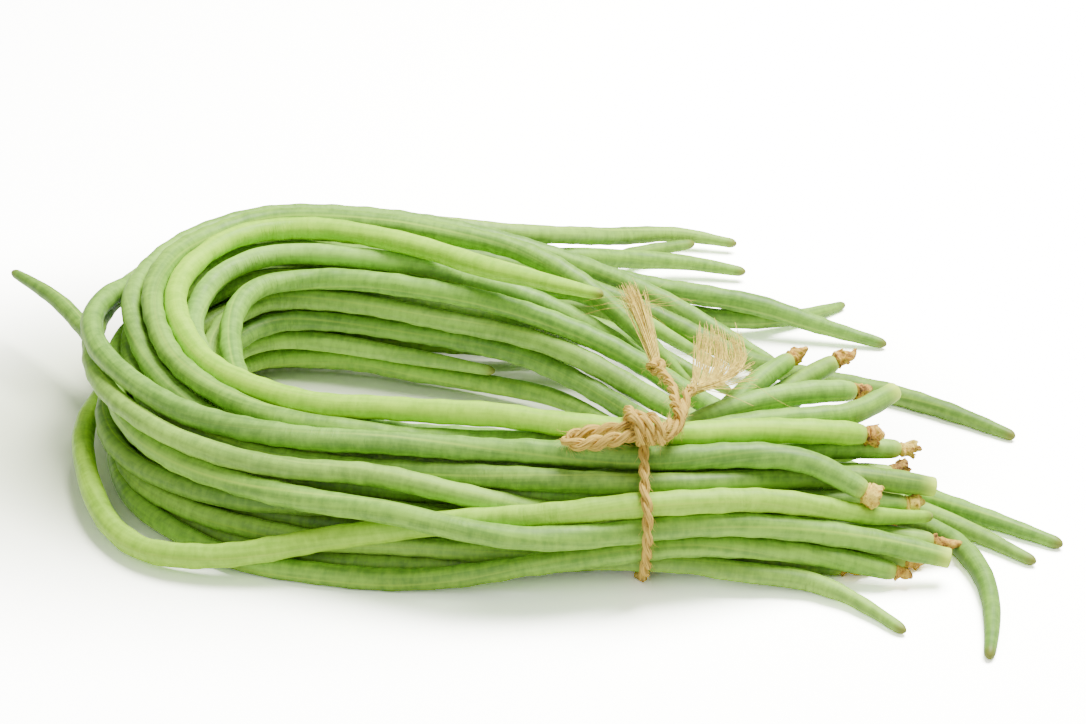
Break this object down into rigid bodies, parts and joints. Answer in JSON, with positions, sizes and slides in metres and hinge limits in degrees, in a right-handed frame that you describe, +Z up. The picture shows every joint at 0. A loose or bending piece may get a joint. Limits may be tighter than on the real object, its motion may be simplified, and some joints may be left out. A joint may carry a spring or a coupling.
{
  "type": "tied bunch of yardlong beans",
  "caption": "Bunch of long green bean pods, folded into a loop and lying flat, held at the stem ends by one turn of jute twine with a bow.",
  "frame": {"origin": "centre of the bunch's bounding box, on the surface it lies on", "axes": "+X from the folded bend towards the stem ends and tips, +Y from the tied side of the loop to the other side, +Z up"},
  "size_m": [0.3852, 0.3118, 0.0587],
  "materials": {
    "green_pod": "waxy satin plant skin with fine lengthwise and crosswise lines",
    "bright_pod": "waxy satin plant skin, yellow-green",
    "jute": "matt twisted plant fibre"
  },
  "bodies": {
    "root": {"bean_01": "bright_pod", "bean_02": "green_pod", "bean_03": "green_pod", "bean_04": "green_pod", "bean_05": "green_pod", "bean_06": "green_pod", "bean_07": "green_pod", "bean_08": "green_pod", "bean_09": "green_pod", "bean_10": "green_pod", "bean_11": "green_pod", "bean_12": "green_pod", "bean_13": "green_pod", "bean_14": "green_pod", "bean_15": "green_pod", "bean_16": "green_pod", "bean_17": "green_pod", "bean_18": "green_pod", "bean_19": "green_pod", "bean_20": "green_pod", "bean_21": "green_pod", "bean_22": "green_pod", "bean_23": "green_pod", "bean_24": "green_pod", "bean_25": "green_pod", "bean_26": "green_pod", "bean_27": "green_pod", "bean_28": "green_pod", "jute_twine": "jute"}
  },
  "joints": []
}
